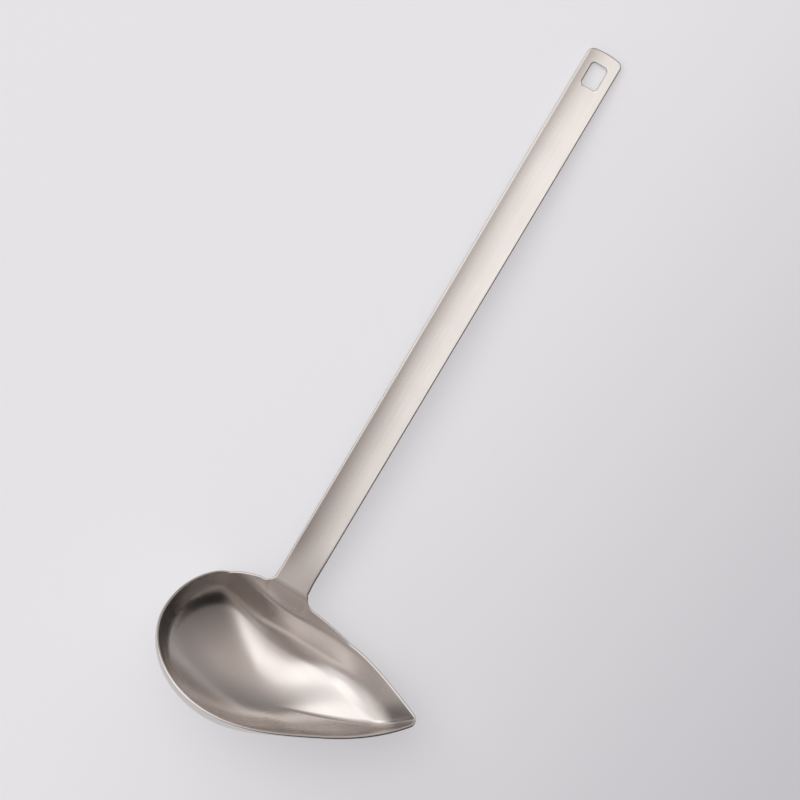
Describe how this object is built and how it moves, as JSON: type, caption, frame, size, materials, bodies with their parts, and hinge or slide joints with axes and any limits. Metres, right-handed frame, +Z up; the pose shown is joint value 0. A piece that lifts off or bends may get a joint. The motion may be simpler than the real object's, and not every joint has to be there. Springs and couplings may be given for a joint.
{
  "type": "side-pouring ladle",
  "caption": "Kitchen ladle of satin steel: a deep round bowl drawn out into a pouring spout at its side, with a long flat bowed handle that ends in a hanging hole.",
  "frame": {"origin": "centre of the footprint of the ladle's box, on the table that it lies on, bowl up", "axes": "+Y along the handle from the bowl to the hanging hole, +X towards the spout, +Z up from the table"},
  "size_m": [0.1114, 0.3144, 0.0464],
  "materials": {
    "bowl_steel": "satin polished",
    "handle_steel": "fine brushed",
    "weld_steel": "dressed and brushed over"
  },
  "bodies": {
    "root": {"bowl": "bowl_steel", "handle": "handle_steel", "neck_weld": "weld_steel"}
  },
  "joints": []
}
